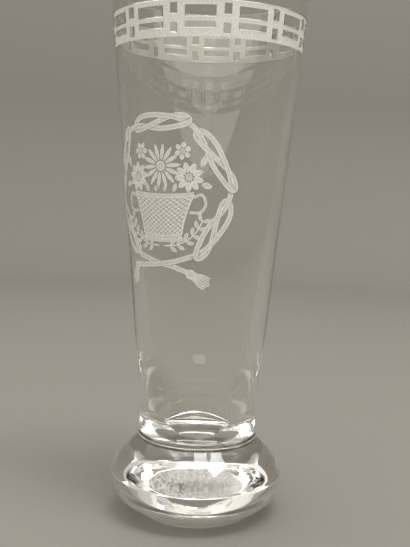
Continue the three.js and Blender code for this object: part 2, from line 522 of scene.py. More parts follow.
neck_down = NECK_LEAD * np.sin(NECK_SLOPE)
shoulder = bend(
    (belly_radius, BELLY_HEIGHT),
    (belly_radius, BELLY_HEIGHT + SHOULDER_ROUND),
    (NECK_RADIUS + neck_out, foot_top - neck_down),
    (NECK_RADIUS, foot_top),
    steps=30,
)
foot_outline = joined(
    foot_hollow,
    rest_ring,
    rest_edge,
    underside,
    shoulder,
    straight((NECK_RADIUS, foot_top), (PEG_RADIUS, foot_top), steps=2),
    straight((PEG_RADIUS, foot_top), (PEG_RADIUS, peg_bottom), steps=1),
    straight((PEG_RADIUS, peg_bottom), (0.0, peg_bottom), steps=2),
)
print("foot outline:", len(foot_outline), "points")

# %% Foot
JOINT_SLOT = 1
GROUND_SLOT = 2
FLAT = 0.001 * MM      # a face whose middle is this close to a flat lies in it


def paint_faces(piece, slot_number, above=-np.inf, below=np.inf, beyond=-np.inf, within=np.inf):
    """Gives a material slot to the faces whose middle lies between two heights and between two radii."""
    mesh = piece.data
    middles = np.empty(len(mesh.polygons) * 3)
    mesh.polygons.foreach_get("center", middles)
    indices = np.empty(len(mesh.polygons), dtype=np.int32)
    mesh.polygons.foreach_get("material_index", indices)
    x, y, height = middles.reshape(-1, 3).T
    radius = np.hypot(x, y)
    indices[(height > above) & (height < below) & (radius > beyond) & (radius < within)] = slot_number
    mesh.polygons.foreach_set("material_index", indices)


foot_angles = np.linspace(0.0, 2 * np.pi, FOOT_SIDES, endpoint=False)
foot_materials = (foot_glass, fused_joint, ground_glass)
foot = make_piece("foot_glass_body", *turned(foot_outline, foot_angles), foot_materials)
paint_faces(foot, JOINT_SLOT, above=foot_top - FLAT, within=NECK_RADIUS)
paint_faces(foot, JOINT_SLOT, above=peg_bottom - FLAT, within=PEG_RADIUS + FLAT)
paint_faces(foot, GROUND_SLOT, below=HOLLOW_DEPTH + FLAT, within=PATCH_RADIUS)
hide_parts("foot")
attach(foot, "root")
print("foot:", len(foot.data.polygons), "faces")

# %% [markdown]
# ## Collar
# A thin ring of glass was laid between foot and bowl to join them. It shows as a bright line round the
# neck, between two dark creases. It is a plain ring, so a torus would nearly do, but its inside is flat
# against the peg of the bowl. Its own closed outline gives both.

# %% Collar
collar_round = (seat_height - foot_top) / 2
collar_outline = joined(
    straight((PEG_RADIUS, foot_top), (collar_radius - collar_round, foot_top), steps=3),
    rounded(collar_radius - collar_round, foot_top + collar_round, collar_round, -90.0, 90.0, steps=16),
    straight((collar_radius - collar_round, seat_height), (PEG_RADIUS, seat_height), steps=3),
)


def turned_ring(outline, angles):
    """A closed ring: the whole outline (radius, height) goes round, and its last point joins its first."""
    faces = grid_faces(len(outline), len(angles), wrap_columns=True, wrap_rows=True)
    return round_points(outline[:, :1], angles, outline[:, 1:]), faces.tolist()


collar = make_piece("collar_ring", *turned_ring(collar_outline, foot_angles), (foot_glass, fused_joint))
paint_faces(collar, JOINT_SLOT, within=PEG_RADIUS + FLAT)
paint_faces(collar, JOINT_SLOT, below=foot_top + FLAT, within=NECK_RADIUS)
paint_faces(collar, JOINT_SLOT, above=seat_height - FLAT, within=NECK_RADIUS)
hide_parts("collar")
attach(collar, "root")
print("collar:", len(collar.data.polygons), "faces")

# %% [markdown]
# ## Bowl
# The bowl was blown, and drawn out to an even cone that thins towards the rim. Here it is one turned skin,
# outside and inside. The engraved band under its rim is cut 0.3 mm deep. A boolean could cut it, but would
# leave a ragged mesh. Instead the grid has a line on each side of every edge of the band, and the glass
# between such a pair of lines makes the slope of the cut.

# %% Bowl sizes
SEAT_RADIUS = 22.6 * MM
SEAT_EDGE_ROUND = 0.8 * MM
WAIST_RADIUS = 22.3 * MM
WAIST_RISE = 9.0 * MM
CONE_RISE = 33.0 * MM
CONE_RADIUS = 24.6 * MM
FLOOR_THICKNESS = 2.4 * MM
FLOOR_RADIUS = 9.0 * MM
FLOOR_LEAD = 2.0 * MM
HEEL_RADIUS = 13.3 * MM
HEEL_RISE = 9.5 * MM
HEEL_LEAD = 4.5 * MM
CONE_WALL = 5.8 * MM
RIM_WALL = 1.5 * MM
cone_start = seat_height + CONE_RISE


def cone_radius_at(height):
    """Outer radius of the bowl's straight cone at a height."""
    share = (height - cone_start) / (glass_height - cone_start)
    return CONE_RADIUS + share * (rim_radius - CONE_RADIUS)


# %% Band sizes
BAND_MARGIN = 8.0 * MM
BAND_HEIGHT = 12.0 * MM
BAND_REPEATS = 12
BAND_TURN = np.radians(10.0)
ENGRAVING_DEPTH = 0.3 * MM
BAR_WIDTH = 2.8 * MM
LADDER_WIDTH = 2.5 * MM
TOP_STRIP = 1.8 * MM
LADDER_STRIP = 1.0 * MM
CUT_SLOPE = 0.12 * MM

# Windows as heights above the band's lower edge
WIDE_WINDOWS = ((2.9 * MM, 5.0 * MM), (6.5 * MM, BAND_HEIGHT - TOP_STRIP))
LADDER_WINDOWS = ((1.2 * MM, 4.7 * MM), (7.4 * MM, BAND_HEIGHT - LADDER_STRIP))

band_bottom = glass_height - BAND_MARGIN - BAND_HEIGHT
band_top = glass_height - BAND_MARGIN
band_radius = cone_radius_at(band_top)
band_pitch = 2 * np.pi * band_radius / BAND_REPEATS
ladder_half = LADDER_WIDTH / 2 / band_radius
wide_half = (band_pitch - 2 * BAR_WIDTH - LADDER_WIDTH) / 2 / band_radius
wide_middle = np.pi / BAND_REPEATS
slope_half = CUT_SLOPE / 2 / band_radius
print("one repeat of the band (mm):", round(band_pitch / MM, 2))

# %% Lines of the bowl's grid
WIDEST_TURN = np.radians(1.6)
WIDEST_RISE = 1.5 * MM
SAME_EDGE = 0.001 * MM     # window edges this close share one line


def edge_pairs(edges, half):
    """Two lines for each edge, one on each side of it."""
    edges = np.asarray(edges, dtype=float)
    return np.sort(np.concatenate((edges - half, edges + half)))


def filled(lines, widest):
    """The same lines, with even steps put in wherever two of them lie further apart than widest."""
    gaps = np.diff(lines)
    counts = np.maximum(np.ceil(gaps / widest).astype(int), 1)
    steps = [low + gap * np.arange(count) / count for low, gap, count in zip(lines[:-1], gaps, counts)]
    return np.concatenate((*steps, lines[-1:]))


repeat_edges = (ladder_half, wide_middle - wide_half)
half_repeat = np.concatenate(((0.0,), edge_pairs(repeat_edges, slope_half), (wide_middle,)))
half_repeat = filled(half_repeat, WIDEST_TURN)
one_repeat = np.concatenate((half_repeat, 2 * wide_middle - half_repeat[-2:0:-1]))
repeat_turns = BAND_TURN + np.arange(BAND_REPEATS) * 2 * wide_middle
bowl_angles = (repeat_turns[:, None] + one_repeat[None, :]).ravel()

window_edges = np.unique(np.round(np.array((*WIDE_WINDOWS, *LADDER_WINDOWS)) / SAME_EDGE)) * SAME_EDGE
band_heights = band_bottom + edge_pairs((0.0, *window_edges, BAND_HEIGHT), CUT_SLOPE / 2)
band_heights = filled(band_heights, WIDEST_RISE)
print("angles:", len(bowl_angles), "band lines:", len(band_heights))


def is_matte(angle, height):
    """True where the band is matte: inside the band, but in none of its windows."""
    turn = np.abs((angle - BAND_TURN + wide_middle) % (2 * wide_middle) - wide_middle)
    above = height - band_bottom
    matte = (above > 0) & (above < BAND_HEIGHT)
    for low, high in LADDER_WINDOWS:
        matte &= ~((turn < ladder_half) & (above > low) & (above < high))
    for low, high in WIDE_WINDOWS:
        matte &= ~((wide_middle - turn < wide_half) & (above > low) & (above < high))
    return matte


# %% Heights and slopes of the bowl
waist = seat_height + WAIST_RISE
bowl_floor = peg_bottom + FLOOR_THICKNESS
heel = bowl_floor + HEEL_RISE
outer_slope = (rim_radius - CONE_RADIUS) / (glass_height - cone_start)
inner_start = CONE_RADIUS - CONE_WALL
inner_slope = (rim_radius - RIM_WALL - inner_start) / (glass_height - cone_start)
lead = (cone_start - waist) / 3
inner_lead = (cone_start - heel) / 3
lip = RIM_WALL / 2
print("waist, heel, start of the cone (mm):", np.round(np.array((waist, heel, cone_start)) / MM, 1))

# %% Bowl outline, outside: the peg, the seat, the waist, the cone with its band, and the rim
peg = joined(
    straight((0.0, peg_bottom), (PEG_RADIUS, peg_bottom), steps=2),
    straight((PEG_RADIUS, peg_bottom), (PEG_RADIUS, seat_height), steps=1),
)
seat = straight((PEG_RADIUS, seat_height), (SEAT_RADIUS - SEAT_EDGE_ROUND, seat_height), steps=2)
seat_edge = rounded(
    SEAT_RADIUS - SEAT_EDGE_ROUND, seat_height + SEAT_EDGE_ROUND, SEAT_EDGE_ROUND, -90.0, 0.0, steps=8
)
below_waist = bend(
    (SEAT_RADIUS, seat_height + SEAT_EDGE_ROUND),
    (SEAT_RADIUS, seat_height + WAIST_RISE / 2),
    (WAIST_RADIUS, waist - WAIST_RISE / 3),
    (WAIST_RADIUS, waist),
    steps=10,
)
above_waist = bend(
    (WAIST_RADIUS, waist),
    (WAIST_RADIUS, waist + lead),
    (CONE_RADIUS - outer_slope * lead, cone_start - lead),
    (CONE_RADIUS, cone_start),
    steps=12,
)
cone_end, cone_again = band_bottom - MM, band_top + MM
cone = straight((CONE_RADIUS, cone_start), (cone_radius_at(cone_end), cone_end), steps=20)
band = np.stack((cone_radius_at(band_heights), band_heights), axis=-1)
above_band = straight((cone_radius_at(cone_again), cone_again), (rim_radius, glass_height - lip), steps=3)
rim = rounded(rim_radius - lip, glass_height - lip, lip, 0.0, 180.0, steps=14)
print("outside:", sum(map(len, (seat_edge, below_waist, above_waist, cone, band, above_band, rim))), "points")

# %% Bowl outline, inside: the cone, the bend into the thick lower wall, and the rounded floor
inner_cone = straight((rim_radius - RIM_WALL, glass_height - lip), (inner_start, cone_start), steps=30)
inner_bend = bend(
    (inner_start, cone_start),
    (inner_start - inner_slope * inner_lead, cone_start - inner_lead),
    (HEEL_RADIUS, heel + inner_lead),
    (HEEL_RADIUS, heel),
    steps=14,
)
floor_corner = bend(
    (HEEL_RADIUS, heel),
    (HEEL_RADIUS, heel - HEEL_LEAD),
    (FLOOR_RADIUS + FLOOR_LEAD, bowl_floor),
    (FLOOR_RADIUS, bowl_floor),
    steps=14,
)
floor_disc = straight((FLOOR_RADIUS, bowl_floor), (0.0, bowl_floor), steps=4)
bowl_outline = joined(
    peg, seat, seat_edge, below_waist, above_waist, cone, band, above_band,
    rim, inner_cone, inner_bend, floor_corner, floor_disc,
)
print("bowl outline:", len(bowl_outline), "points")

# %% Bowl, with the matte places of its band taken down by the depth of the cut
bowl_points, bowl_faces = turned(bowl_outline, bowl_angles)
ring_points = bowl_points[:-2]
point_radius = np.hypot(ring_points[:, 0], ring_points[:, 1])
point_angle = np.tile(bowl_angles, len(bowl_outline) - 2)
outside = point_radius > cone_radius_at(ring_points[:, 2]) - RIM_WALL / 2
cut_depth = ENGRAVING_DEPTH * (is_matte(point_angle, ring_points[:, 2]) & outside)
ring_points[:, :2] *= (1 - cut_depth / point_radius)[:, None]

bowl = make_piece("bowl_glass_body", bowl_points, bowl_faces, (bowl_glass, fused_joint))
peg_side = 0.99 * PEG_RADIUS     # the middle of a facet lies a little inside the peg's radius
paint_faces(bowl, JOINT_SLOT, below=peg_bottom + FLAT)
paint_faces(bowl, JOINT_SLOT, below=seat_height + FLAT, beyond=peg_side)
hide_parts("bowl")
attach(bowl, "root")
print("bowl:", len(bowl.data.polygons), "faces")

# %% [markdown]
# ## Matte skin of the band
# The cut alone would still look like clear glass. The bowl's own faces could carry the matte finish, but
# then the clear glass under it would be lost. So a skin a few hundredths of a millimetre thick lies in the
# cut. It is closed: a top, an underside, and a wall wherever a matte cell meets a clear one.

# %% Band skin
SKIN_LOW = 0.01 * MM
SKIN_HIGH = 0.05 * MM
BAND_CUT = 0.9


def set_cut(piece, depths):
    """Stores how deeply each point was worked as the attribute cut, which the matte glass reads."""
    layer = piece.data.attributes.new("cut", "FLOAT", "POINT")
    layer.data.foreach_set("value", depths.astype(np.float32))


def skin_from_cells(solid_cells, low_points, high_points):
    """A closed skin over chosen cells of a grid that wraps round: tops, undersides and walls.

    A wall stands on each cell edge where a chosen cell meets one that isn't. Corner (i, j) has the number
    i * columns + j.
    """
    rows, columns = solid_cells.shape
    count = len(low_points)
    quads = grid_faces(rows + 1, columns, wrap_columns=True)
    chosen = solid_cells.ravel()
    high_faces = quads[chosen] + count
    low_faces = quads[chosen][:, ::-1]
    padded = np.pad(solid_cells, ((1, 1), (0, 0)))
    walls = []
    for difference, corner_a, corner_b in (
        (solid_cells & ~padded[:-2], 0, 1),
        (solid_cells & ~padded[2:], 2, 3),
        (solid_cells & ~np.roll(solid_cells, -1, axis=1), 1, 2),
        (solid_cells & ~np.roll(solid_cells, 1, axis=1), 3, 0),
    ):
        edge = quads[difference.ravel()][:, (corner_a, corner_b)]
        walls.append(np.concatenate((edge, edge[:, ::-1] + count), axis=1))
    faces = np.concatenate((high_faces, low_faces, *walls))
    used, renumbered = np.unique(faces, return_inverse=True)
    points = np.concatenate((low_points, high_points))[used]
    return points, renumbered.reshape(faces.shape).tolist()


# %% Cells of the band that are matte
skin_angle, skin_height = np.meshgrid(bowl_angles, band_heights)
middle_angle = bowl_angles + (np.roll(bowl_angles, -1) - bowl_angles) % (2 * np.pi) / 2
middle_height = (band_heights[:-1] + band_heights[1:]) / 2
cells = is_matte(*np.meshgrid(middle_angle, middle_height))
# A cell that slopes from matte to clear isn't covered
corners_matte = is_matte(skin_angle, skin_height)
cells &= corners_matte[:-1] & corners_matte[1:]
cells &= np.roll(corners_matte, -1, axis=1)[:-1] & np.roll(corners_matte, -1, axis=1)[1:]
print("matte cells:", int(cells.sum()), "of", cells.size)


# %% Band
def on_cone(angle, height, lift):
    """Points that lie on the outer cone, lifted off it by so much."""
    return round_points(cone_radius_at(height) + lift, angle, height)


band_low = on_cone(skin_angle, skin_height, SKIN_LOW - ENGRAVING_DEPTH)
band_high = on_cone(skin_angle, skin_height, SKIN_HIGH - ENGRAVING_DEPTH)
band_points, band_faces = skin_from_cells(cells, band_low, band_high)
band_skin = make_piece("engraved_band", band_points, band_faces, (matte_glass,))
set_cut(band_skin, np.full(len(band_points), BAND_CUT))
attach(band_skin, "root")
print("band skin:", len(band_faces), "faces")

# %% [markdown]
# ## Medallion
# An engraver cuts a picture with small copper wheels. Each touch leaves a short matte stroke, brighter
# along its edges, where the wheel bit deepest. A picture of the drawing could be laid on the bowl, but it
# would blur up close, so the drawing is built from strokes too. A stroke is a grid of points on a flat
# drawing in millimetres, with a third value that says how deep the cut is there.

# %% Strokes on a flat drawing
ACROSS = np.array((-1.0, -0.78, -0.55, 0.0, 0.55, 0.78, 1.0))
CUT_ACROSS = np.array((1.0, 1.0, 0.55, 0.5, 0.55, 1.0, 1.0))
LEAF_POINTS = 13
TIP_WIDTH = 0.06
DISC_SIDES = 24
DISC_RINGS = np.array((0.02, 0.35, 0.7, 0.85, 1.0))
DISC_CUT = np.array((0.5, 0.5, 0.5, 1.0, 1.0))


def smooth_path(corners, count):
    """Points on a smooth curve through the corners: a Catmull-Rom cubic between each two of them."""
    corners = np.asarray(corners, dtype=float)
    padded = np.concatenate((2 * corners[:1] - corners[1:2], corners, 2 * corners[-1:] - corners[-2:-1]))
    t = np.linspace(0.0, len(corners) - 1 - 1e-9, count)
    i = t.astype(int)
    s = (t - i)[:, None]
    before, start, end, after = (padded[i + k] for k in range(4))
    flat = 2 * start + (end - before) * s
    curved = (2 * before - 5 * start + 4 * end - after) * s ** 2
    twisted = (3 * start - before - 3 * end + after) * s ** 3
    return (flat + curved + twisted) / 2


def stroke(path, width, cut=CUT_ACROSS):
    """A stroke along a path: each point moves sideways by ACROSS * width / 2. Returns u, v and the cut."""
    along = np.gradient(path, axis=0)
    along /= np.linalg.norm(along, axis=1)[:, None]
    sideways = np.stack((-along[:, 1], along[:, 0]), axis=-1)
    half = np.broadcast_to(np.asarray(width, dtype=float) / 2, len(path))
    flat = path[:, None] + (half[:, None] * ACROSS)[..., None] * sideways[:, None]
    depth = np.broadcast_to(cut, flat.shape[:2])
    return np.concatenate((flat, depth[..., None]), axis=-1)


def leaf(start, end, width, bulge=0.0, fullness=0.8, cut=CUT_ACROSS):
    """A leaf or petal: its width follows sin(pi * share) ** fullness, and its rib bends sideways by bulge."""
    share = np.linspace(0.0, 1.0, LEAF_POINTS)
    start, end = np.array(start, dtype=float), np.array(end, dtype=float)
    side = np.array((start[1] - end[1], end[0] - start[0]))
    rib = start + share[:, None] * (end - start) + bulge * np.sin(np.pi * share)[:, None] * side
    return stroke(rib, TIP_WIDTH + width * np.sin(np.pi * share) ** fullness, cut)


def disc(centre, radius):
    """A round spot: rings at shares of the radius. The first ring is tiny, so no point is shared."""
    angle = np.linspace(0.0, 2 * np.pi, DISC_SIDES + 1)
    ring = np.stack((np.cos(angle), np.sin(angle)), axis=-1)
    flat = np.array(centre) + radius * DISC_RINGS[None, :, None] * ring[:, None]
    depth = np.broadcast_to(DISC_CUT, flat.shape[:2])
    return np.concatenate((flat, depth[..., None]), axis=-1)


# %% [markdown]
# ### From the drawing to the bowl
# The finished strokes are wrapped round the cone: up stays up, and a distance across becomes an angle. Each
# stroke becomes a closed slab about a hundredth of a millimetre thick. Two slabs at the same height would
# flicker, so each one lies a little above the one before it. A Shrinkwrap modifier could lay a flat mesh on
# the bowl, but would not keep the strokes apart.

# %% Wrap a drawing round the bowl
MEDALLION_TURN = np.radians(-30.7)
MEDALLION_HEIGHT = 123.8 * MM
SKIN_THICKNESS = 0.012 * MM
LAYER_STEP = 0.004 * MM
DRAWING_LIFT = 0.02 * MM

drawn_glass = matte_cut("drawn_glass", faint=0.0, strong=0.85, passing=0.0)


def wrapped(patch, lift):
    """Drawing to bowl: height = middle + v, angle = turn + u / radius at that height. Lift is in metres."""
    height = MEDALLION_HEIGHT + patch[..., 1] * MM
    angle = MEDALLION_TURN + patch[..., 0] * MM / cone_radius_at(height)
    return on_cone(angle, height, lift)


def slab_faces(rows, columns, start):
    """Faces of a thin closed slab over a grid: its underside, its top and a wall along the border."""
    count = rows * columns
    under = grid_faces(rows, columns, start=start)
    border = np.concatenate((
        np.arange(columns - 1),
        np.arange(rows - 1) * columns + columns - 1,
        np.arange(count - 1, count - columns, -1),
        np.arange(rows - 1, 0, -1) * columns,
    )) + start
    following = np.roll(border, -1)
    walls = np.stack((border, following, following + count, border + count), axis=-1)
    return np.concatenate((under[:, ::-1], under + count, walls))


# %% A piece from strokes
def engrave(name, patches, base_lift, extra_lift=0.0):
    """One piece from many strokes. Each stroke lies a little above the one before it, so none coincide."""
    points, faces, cuts = [], [], []
    start = 0
    for layer, patch in enumerate(patches):
        lift = base_lift + layer * LAYER_STEP + extra_lift
        rows, columns = patch.shape[:2]
        points += [wrapped(patch, lift), wrapped(patch, lift + SKIN_THICKNESS)]
        cuts += [patch[..., 2].ravel()] * 2
        faces.append(slab_faces(rows, columns, start))
        start += 2 * rows * columns
    piece = make_piece(name, np.concatenate(points), np.concatenate(faces).tolist(), (drawn_glass,))
    set_cut(piece, np.concatenate(cuts))
    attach(piece, "root")
    print(name + ":", len(patches), "strokes,", len(piece.data.polygons), "faces")


# %% [markdown]
# ### The knotted cord
# A cord with five loose double knots frames the medallion. It could be drawn by hand, point by point, but
# one sum gives the whole cord: while it runs round the ring it also swings forward and back along it once a
# knot, and in and out twice. Where two strands cross, one lies on top, and the engraver left a hairline of
# clear glass beside it.

# %% Cord path
KNOTS = 5
KNOT_PITCH = 62.5
RING_TURN = 91.0
RING_RADIUS = 24.4
KNOT_FLATNESS = 0.9
LOOP_REACH = 0.66
LOOP_SWING = 2.35
CORD_WIDTH = 1.75
KNOT_POINTS = 130
TAIL_POINTS = 60


def cord_path(share):
    """The cord at a share, 1 for each knot, with t = 2 pi share.

    Forward, in knots: share - 0.75 - reach * cos t. Outward, in mm: swing * sin 2t, less flatness * cos of
    2 pi forward, which flattens the ring between its knots.
    """
    t = 2 * np.pi * share
    forward = share - 0.75 - LOOP_REACH * np.cos(t)
    outward = LOOP_SWING * np.sin(2 * t) - KNOT_FLATNESS * np.cos(2 * np.pi * forward)
    angle = np.radians(RING_TURN + KNOT_PITCH * ((KNOTS - 1) / 2 - forward))
    radius = RING_RADIUS + outward
    return np.stack((radius * np.cos(angle), radius * np.sin(angle)), axis=-1)


cord_share = np.linspace(0.25, KNOTS + 0.25, KNOT_POINTS * KNOTS)
knotted = cord_path(cord_share)
RIGHT_TAIL = ((-6.5, -24.1), (-1.2, -25.6), (4.2, -26.6), (9.6, -28.4))
LEFT_TAIL = ((5.6, -24.6), (0.2, -25.7), (-6.0, -26.5), (-12.2, -26.9))
right_tail = smooth_path((knotted[0], *RIGHT_TAIL), TAIL_POINTS)
left_tail = smooth_path((knotted[-1], *LEFT_TAIL), TAIL_POINTS)
cord = np.concatenate((right_tail[:0:-1], knotted, left_tail[1:]))

# Strands pass over (1) and under (-1) at these shares of each knot
CROSSING_SHARE = (0.184, 0.227, 0.271, 0.314, 0.521, 0.684, 0.816, 0.976)
CROSSING_LEVEL = (1.0, -1.0, 1.0, -1.0, 1.0, -1.0, 1.0, -1.0)
knot_level = np.interp(cord_share % 1.0, CROSSING_SHARE, CROSSING_LEVEL, period=1.0)
level = np.concatenate((
    np.linspace(-1.0, 0.0, len(right_tail) - 1),
    knot_level,
    np.linspace(0.0, 1.0, len(left_tail) - 1),
))
print("cord:", len(cord), "points,", round(np.linalg.norm(np.diff(cord, axis=0), axis=1).sum()), "mm")

# %% Cord
HAIRLINE = 0.3
CLEARLY_ABOVE = 0.5    # a strand that is higher by this much of a level covers the other
CORD_LIFT = 0.035 * MM
CROSSING_LIFT = 0.012 * MM


def hidden_by_strands(patch, path, level):
    """Fades a cord's cut where a clearly higher strand passes: 0 on that strand, 1 past the hairline."""
    grid = patch[..., :2].reshape(-1, 1, 2)
    distance = np.linalg.norm(grid - path[None], axis=-1).reshape(*patch.shape[:2], len(path))
    not_covered = level[:, None] + CLEARLY_ABOVE > level[None, :]
    distance = np.where(not_covered[:, None, :], np.inf, distance).min(axis=-1)
    return np.clip((distance - CORD_WIDTH / 2 - HAIRLINE / 2) / (HAIRLINE / 2), 0.0, 1.0)


cord_patch = stroke(cord, CORD_WIDTH)
cord_patch[..., 2] *= hidden_by_strands(cord_patch, cord, level)
level_lift = CROSSING_LIFT * np.broadcast_to(level[:, None], cord_patch.shape[:2])
engrave("knotted_cord", [cord_patch], CORD_LIFT, level_lift)

# %% [markdown]
# ### Tassels
# Each end of the cord has a tassel: a bound head and a skirt of threads. The threads could be one broad
# stroke, but separate strokes that spread from the neck leave the dark gaps of a real skirt.

# %% Tassels
THREADS = 6
NECK_SHARE = 0.36      # half of the skirt's width at the neck, as a share of the head
THREAD_BOW = 0.4
SKIRT_WAVE = 0.3
SKIRT_ROUND = 1.1
TIE_SHARE = 0.55
TIE_WIDTH = 0.6
TASSEL_LIFT = 0.06 * MM


def tassel(start, end, head, flare):
    """A round head, a tie at its neck, and a skirt of threads that spread to the flare's width.

    A thread's place runs from -1 to 1 across the skirt. Its tip lies flare / 2 * place sideways, and
    SKIRT_WAVE * cos(6 * place) less SKIRT_ROUND * place squared further on, so the skirt ends in a curve.
    The head is about 0.6 of its length wide at its ends and 1.15 of it in the middle.
    """
    start, end = np.array(start, dtype=float), np.array(end, dtype=float)
    along = (end - start) / np.linalg.norm(end - start)
    side = np.array((-along[1], along[0]))
    neck = start + along * head
    threads = []
    for place in np.linspace(-1.0, 1.0, THREADS):
        top = neck + side * place * head * NECK_SHARE
        further = SKIRT_WAVE * np.cos(place * 6) - SKIRT_ROUND * place ** 2
        tip = end + side * place * flare / 2 + along * further
        middle = (top + tip) / 2 + side * place * THREAD_BOW
        threads.append(stroke(smooth_path((top, middle, tip), 9), flare / (THREADS + 1)))
    head_width = head * (0.4 + 0.75 * np.sin(np.pi * np.linspace(0.08, 0.92, 11)))
    tie_reach = side * head * TIE_SHARE
    return [
        *threads,
        stroke(straight(start, neck, steps=10), head_width),
        stroke(straight(neck - tie_reach, neck + tie_reach, steps=4), TIE_WIDTH),
    ]


tassels = tassel((-12.4, -26.2), (-15.6, -34.0), head=2.8, flare=4.0)
tassels += tassel((9.4, -28.3), (17.2, -32.8), head=3.0, flare=4.4)
engrave("tassels", tassels, TASSEL_LIFT)

# %% [markdown]
# ### The flower basket
# Inside the cord stands a basket of flowers, an old and common ornament on cut glass and painted ware. Its
# wickerwork is ruled and shallow. Each stave and withe could be a stroke of its own, but a product of two
# waves over one broad stroke gives the whole weave with few faces.

# %% Basket
BASKET_TOP = -1.0
BASKET_BOTTOM = -15.0
BASKET_HALF_WIDTH = 8.0        # at its foot
BASKET_FLARE = 4.6
FLARE_POWER = 1.5
BASKET_SAG = 0.9
STAVES = 9
WITHES = 9
WEAVE_CUT = 0.5
WEAVE_SWING = 0.4
WEAVE_EDGE = 3.0
SIDE_WIDTH = 0.55
RIM_WIDTH = 1.5
HANDLE_WIDTH = 0.9
HANDLE = np.array(((12.3, -2.2), (15.4, -1.2), (16.6, -4.4), (14.6, -7.2), (10.8, -7.4)))

# Half width = foot's + flare * (1 - down) ** power. Cut = 0.5 + 0.4 * tanh(3 * stave wave * withe wave)
down = np.linspace(0.0, 1.0, 73)[:, None]
across = np.linspace(-1.0, 1.0, 91)[None, :]
basket_u = (BASKET_HALF_WIDTH + BASKET_FLARE * (1 - down) ** FLARE_POWER) * across
basket_v = BASKET_TOP + (BASKET_BOTTOM - BASKET_TOP) * down - BASKET_SAG * (1 - across ** 2)
weave = np.cos(np.pi * STAVES * across) * np.cos(2 * np.pi * WITHES * down)
woven = WEAVE_CUT + WEAVE_SWING * np.tanh(WEAVE_EDGE * weave)
basket_body = np.stack(np.broadcast_arrays(basket_u, basket_v, woven), axis=-1)

foot_line = basket_body[-1, ::6, :2]
basket = [basket_body]
basket += [stroke(basket_body[:, column, :2], SIDE_WIDTH, 1.0) for column in (0, -1)]
basket += [
    stroke(basket_body[0, ::6, :2], RIM_WIDTH),
    stroke(foot_line + (0.0, -0.5), 1.3),
    stroke(foot_line * (1.12, 1.0) + (0.0, -1.7), 0.9),
]
basket += [stroke(smooth_path(HANDLE * (side, 1.0), 30), HANDLE_WIDTH) for side in (-1, 1)]
engrave("flower_basket", basket, DRAWING_LIFT)

# %% [markdown]
# ### Flowers
# A petal is the mark that a wheel makes by itself: a cut that is deep and wide in its middle and runs out
# to a point at both ends. So a flower is a ring of such cuts round a small disc. Five of them in three
# sizes fill the basket.

# %% Flowers
PETAL_CUT = np.array((1.0, 1.0, 0.85, 0.7, 0.85, 1.0, 1.0))
DISC_SHARE = 0.85

# Centre, inner and outer radius, number of petals, their width, and the flower's turn in degrees
BLOSSOMS = (
    ((0.4, 8.4), 2.0, 7.8, 14, 1.3, 4.0),
    ((-10.6, 4.6), 1.4, 5.2, 9, 2.1, 10.0),
    ((11.0, 4.8), 1.4, 5.2, 9, 2.1, 25.0),
    ((-8.4, 13.6), 0.9, 3.1, 6, 1.6, 0.0),
    ((9.0, 13.6), 0.9, 3.1, 6, 1.6, 20.0),
)


def blossom(centre, inner, outer, petals, width, turn):
    """A ring of petals round a disc. Petal k points to the angle turn + k / petals of a full turn."""
    centre = np.array(centre, dtype=float)
    parts = []
    for angle in np.radians(turn) + np.arange(petals) * 2 * np.pi / petals:
        out = np.array((np.cos(angle), np.sin(angle)))
        parts.append(leaf(centre + inner * out, centre + outer * out, width, fullness=0.7, cut=PETAL_CUT))
    return [*parts, disc(centre, inner * DISC_SHARE)]


flowers = [part for row in BLOSSOMS for part in blossom(*row)]
engrave("blossoms", flowers, DRAWING_LIFT)

# %% [markdown]
# ### Leaves
# Loose leaves fill the gaps round the flowers, and two laurel sprigs close the medallion below the basket.
# A leaf is the same cut as a petal, set in pairs along a stem. One sprig is drawn, and the other is its
# mirror image, as an engraver would turn over a paper pattern.

# %% Laurel sprigs and loose leaves
STEM = np.array(((1.0, -19.4), (6.8, -18.6), (12.4, -15.0), (15.6, -9.8)))
STEM_WIDTH = 0.45
STEM_POINTS = 60
LEAF_PLACES = np.linspace(8, 56, 6).astype(int)
LEAF_TURN = np.radians(40.0)
LEAF_LENGTH = 3.4
LEAF_WIDTH = 0.38 * LEAF_LENGTH
LEAF_STALK = 0.35
LEAF_BULGE = 0.06

# Foot, tip and width of each loose leaf on the right
LOOSE_LEAVES = (
    ((5.0, -0.6), (6.4, 2.6), 1.4),
    ((1.6, -0.4), (2.2, 1.6), 1.2),
    ((15.2, 8.4), (17.4, 12.4), 1.9),
    ((15.2, 2.4), (19.0, 1.6), 2.0),
)


def sprig(corners):
    """A stem with pairs of leaves. A leaf points forward along the stem, turned out by LEAF_TURN."""
    path = smooth_path(corners, STEM_POINTS)
    parts = [stroke(path, STEM_WIDTH, 1.0)]
    for place in LEAF_PLACES:
        along = path[place + 1] - path[place - 1]
        along /= np.linalg.norm(along)
        for side in (-1, 1):
            outward = side * np.array((-along[1], along[0]))
            out = along * np.cos(LEAF_TURN) + outward * np.sin(LEAF_TURN)
            leaf_foot, leaf_tip = path[place] + out * LEAF_STALK, path[place] + out * LEAF_LENGTH
            parts.append(leaf(leaf_foot, leaf_tip, LEAF_WIDTH, bulge=side * LEAF_BULGE))
    return parts


greenery = []
for side in (-1, 1):
    mirror = np.array((side, 1.0))
    greenery += sprig(STEM * mirror)
    greenery += [leaf(start * mirror, end * mirror, width) for start, end, width in LOOSE_LEAVES]
engrave("laurel_sprigs", greenery, DRAWING_LIFT)

# %% [markdown]
# ## Stage
# Clear glass shows what stands round it. A flat floor with open light above it would make the whole foot
# glow. So the glass stands on a round sheet that curves up into a wall on all sides, low in front and
# higher behind. The wall draws the dark lines in the foot and neck that a room gives. The sheet is a plain
# warm grey, because white engraving fades on a white sheet.

